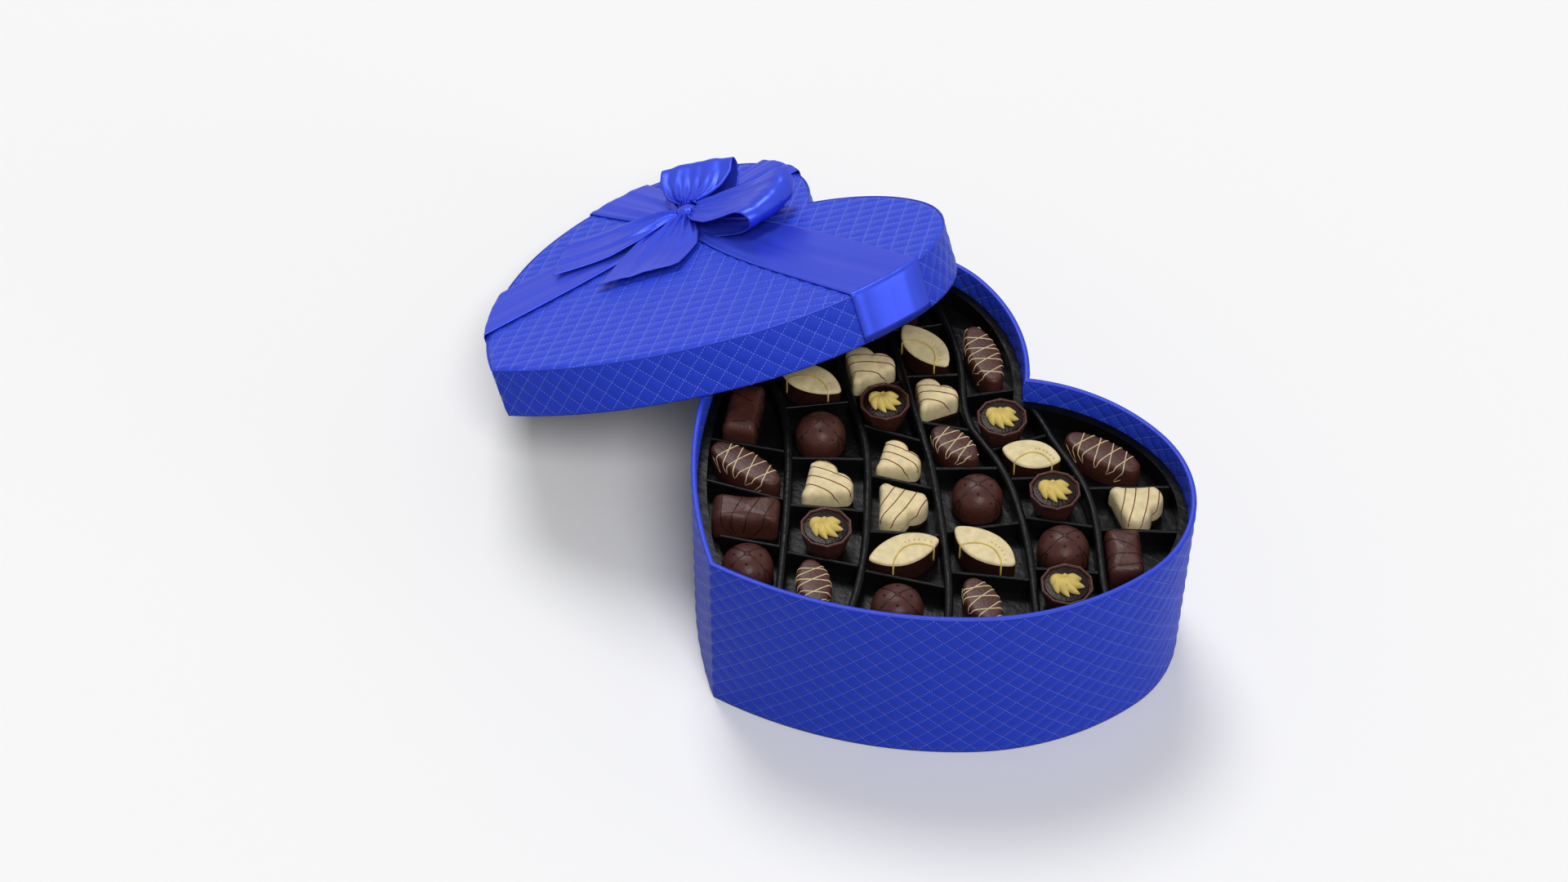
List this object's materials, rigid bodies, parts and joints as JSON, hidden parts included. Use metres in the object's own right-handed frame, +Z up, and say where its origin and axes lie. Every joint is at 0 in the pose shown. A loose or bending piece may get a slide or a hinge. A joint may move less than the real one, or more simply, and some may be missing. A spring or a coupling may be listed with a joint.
{
  "type": "chocolate box",
  "caption": "Heart-shaped gift box of assorted pralines in a moulded tray, its quilted lid with a satin bow leaning on the side.",
  "frame": {"origin": "middle of the base's underside, halfway between the heart's widest sides and between its point and its lobes", "axes": "+Z up, -Y towards the heart's point, +X across the heart, away from the leaning lid"},
  "size_m": [0.4625, 0.2464, 0.1562],
  "materials": {
    "blue_leatherette": "quilted, satin sheen",
    "blue_edging": "smooth turned edge, satin sheen",
    "box_board": "matt blue paper facing",
    "foam": "soft open foam",
    "blue_satin": "satin",
    "black_tray": "glossy thermoformed sheet",
    "milk_chocolate": "tempered milk chocolate, satin",
    "dark_chocolate": "tempered dark chocolate, satin",
    "white_chocolate": "white chocolate, satin"
  },
  "bodies": {
    "base": {"base_bottom": "box_board", "base_cover": "blue_leatherette", "base_wall": "box_board", "base_lining": "blue_leatherette", "rim_edging": "blue_edging", "riser_collar": "box_board", "riser_deck": "box_board", "tray": "black_tray"},
    "lid": {"lid_rim": "box_board", "lid_top_board": "box_board", "lid_padding_sheet": "foam", "lid_side_cover": "blue_leatherette", "lid_top_cover": "blue_leatherette", "crosswise_band": "blue_satin", "lengthwise_band": "blue_satin", "right_loop": "blue_satin", "left_loop": "blue_satin", "left_tail": "blue_satin", "middle_tail": "blue_satin", "bow_knot": "blue_satin"},
    "log_1": {"log_1": "milk_chocolate"},
    "log_2": {"log_2": "milk_chocolate"},
    "short_log_1": {"short_log_1": "milk_chocolate"},
    "oval_1": {"oval_1": "milk_chocolate"},
    "oval_2": {"oval_2": "milk_chocolate"},
    "oval_3": {"oval_3": "milk_chocolate"},
    "short_oval_1": {"short_oval_1": "milk_chocolate"},
    "short_oval_2": {"short_oval_2": "milk_chocolate"},
    "short_oval_3": {"short_oval_3": "milk_chocolate"},
    "short_oval_4": {"short_oval_4": "milk_chocolate"},
    "dome_1": {"dome_1": "milk_chocolate"},
    "dome_2": {"dome_2": "milk_chocolate"},
    "dome_3": {"dome_3": "milk_chocolate"},
    "dome_4": {"dome_4": "milk_chocolate"},
    "dome_5": {"dome_5": "milk_chocolate"},
    "dome_6": {"dome_6": "milk_chocolate"},
    "leaf_1": {"leaf_1": "dark_chocolate"},
    "leaf_2": {"leaf_2": "dark_chocolate"},
    "leaf_3": {"leaf_3": "dark_chocolate"},
    "leaf_4": {"leaf_4": "dark_chocolate"},
    "small_leaf_1": {"small_leaf_1": "dark_chocolate"},
    "white_heart_1": {"white_heart_1": "white_chocolate"},
    "white_heart_2": {"white_heart_2": "white_chocolate"},
    "white_heart_3": {"white_heart_3": "white_chocolate"},
    "white_heart_4": {"white_heart_4": "white_chocolate"},
    "small_heart_1": {"small_heart_1": "white_chocolate"},
    "small_heart_2": {"small_heart_2": "white_chocolate"},
    "cup_1": {"cup_1": "milk_chocolate"},
    "cup_2": {"cup_2": "milk_chocolate"},
    "cup_3": {"cup_3": "milk_chocolate"},
    "cup_4": {"cup_4": "milk_chocolate"},
    "cup_5": {"cup_5": "milk_chocolate"},
    "cup_6": {"cup_6": "milk_chocolate"}
  },
  "joints": [
    {"name": "lid_lift", "type": "slide", "parent": "base", "child": "lid", "axis": [0, 0, 1], "range_m": [0, 0.15]},
    {"name": "log_1_lift", "type": "slide", "parent": "base", "child": "log_1", "axis": [0, 0, 1], "range_m": [0, 0.008]},
    {"name": "log_2_lift", "type": "slide", "parent": "base", "child": "log_2", "axis": [0, 0, 1], "range_m": [0, 0.05]},
    {"name": "short_log_1_lift", "type": "slide", "parent": "base", "child": "short_log_1", "axis": [0, 0, 1], "range_m": [0, 0.05]},
    {"name": "oval_1_lift", "type": "slide", "parent": "base", "child": "oval_1", "axis": [0, 0, 1], "range_m": [0, 0.008]},
    {"name": "oval_2_lift", "type": "slide", "parent": "base", "child": "oval_2", "axis": [0, 0, 1], "range_m": [0, 0.008]},
    {"name": "oval_3_lift", "type": "slide", "parent": "base", "child": "oval_3", "axis": [0, 0, 1], "range_m": [0, 0.05]},
    {"name": "short_oval_1_lift", "type": "slide", "parent": "base", "child": "short_oval_1", "axis": [0, 0, 1], "range_m": [0, 0.05]},
    {"name": "short_oval_2_lift", "type": "slide", "parent": "base", "child": "short_oval_2", "axis": [0, 0, 1], "range_m": [0, 0.008]},
    {"name": "short_oval_3_lift", "type": "slide", "parent": "base", "child": "short_oval_3", "axis": [0, 0, 1], "range_m": [0, 0.05]},
    {"name": "short_oval_4_lift", "type": "slide", "parent": "base", "child": "short_oval_4", "axis": [0, 0, 1], "range_m": [0, 0.05]},
    {"name": "dome_1_lift", "type": "slide", "parent": "base", "child": "dome_1", "axis": [0, 0, 1], "range_m": [0, 0.05]},
    {"name": "dome_2_lift", "type": "slide", "parent": "base", "child": "dome_2", "axis": [0, 0, 1], "range_m": [0, 0.008]},
    {"name": "dome_3_lift", "type": "slide", "parent": "base", "child": "dome_3", "axis": [0, 0, 1], "range_m": [0, 0.008]},
    {"name": "dome_4_lift", "type": "slide", "parent": "base", "child": "dome_4", "axis": [0, 0, 1], "range_m": [0, 0.05]},
    {"name": "dome_5_lift", "type": "slide", "parent": "base", "child": "dome_5", "axis": [0, 0, 1], "range_m": [0, 0.05]},
    {"name": "dome_6_lift", "type": "slide", "parent": "base", "child": "dome_6", "axis": [0, 0, 1], "range_m": [0, 0.05]},
    {"name": "leaf_1_lift", "type": "slide", "parent": "base", "child": "leaf_1", "axis": [0, 0, 1], "range_m": [0, 0.008]},
    {"name": "leaf_2_lift", "type": "slide", "parent": "base", "child": "leaf_2", "axis": [0, 0, 1], "range_m": [0, 0.05]},
    {"name": "leaf_3_lift", "type": "slide", "parent": "base", "child": "leaf_3", "axis": [0, 0, 1], "range_m": [0, 0.008]},
    {"name": "leaf_4_lift", "type": "slide", "parent": "base", "child": "leaf_4", "axis": [0, 0, 1], "range_m": [0, 0.05]},
    {"name": "small_leaf_1_lift", "type": "slide", "parent": "base", "child": "small_leaf_1", "axis": [0, 0, 1], "range_m": [0, 0.05]},
    {"name": "white_heart_1_lift", "type": "slide", "parent": "base", "child": "white_heart_1", "axis": [0, 0, 1], "range_m": [0, 0.05]},
    {"name": "white_heart_2_lift", "type": "slide", "parent": "base", "child": "white_heart_2", "axis": [0, 0, 1], "range_m": [0, 0.008]},
    {"name": "white_heart_3_lift", "type": "slide", "parent": "base", "child": "white_heart_3", "axis": [0, 0, 1], "range_m": [0, 0.05]},
    {"name": "white_heart_4_lift", "type": "slide", "parent": "base", "child": "white_heart_4", "axis": [0, 0, 1], "range_m": [0, 0.05]},
    {"name": "small_heart_1_lift", "type": "slide", "parent": "base", "child": "small_heart_1", "axis": [0, 0, 1], "range_m": [0, 0.05]},
    {"name": "small_heart_2_lift", "type": "slide", "parent": "base", "child": "small_heart_2", "axis": [0, 0, 1], "range_m": [0, 0.05]},
    {"name": "cup_1_lift", "type": "slide", "parent": "base", "child": "cup_1", "axis": [0, 0, 1], "range_m": [0, 0.05]},
    {"name": "cup_2_lift", "type": "slide", "parent": "base", "child": "cup_2", "axis": [0, 0, 1], "range_m": [0, 0.008]},
    {"name": "cup_3_lift", "type": "slide", "parent": "base", "child": "cup_3", "axis": [0, 0, 1], "range_m": [0, 0.008]},
    {"name": "cup_4_lift", "type": "slide", "parent": "base", "child": "cup_4", "axis": [0, 0, 1], "range_m": [0, 0.05]},
    {"name": "cup_5_lift", "type": "slide", "parent": "base", "child": "cup_5", "axis": [0, 0, 1], "range_m": [0, 0.05]},
    {"name": "cup_6_lift", "type": "slide", "parent": "base", "child": "cup_6", "axis": [0, 0, 1], "range_m": [0, 0.05]}
  ]
}
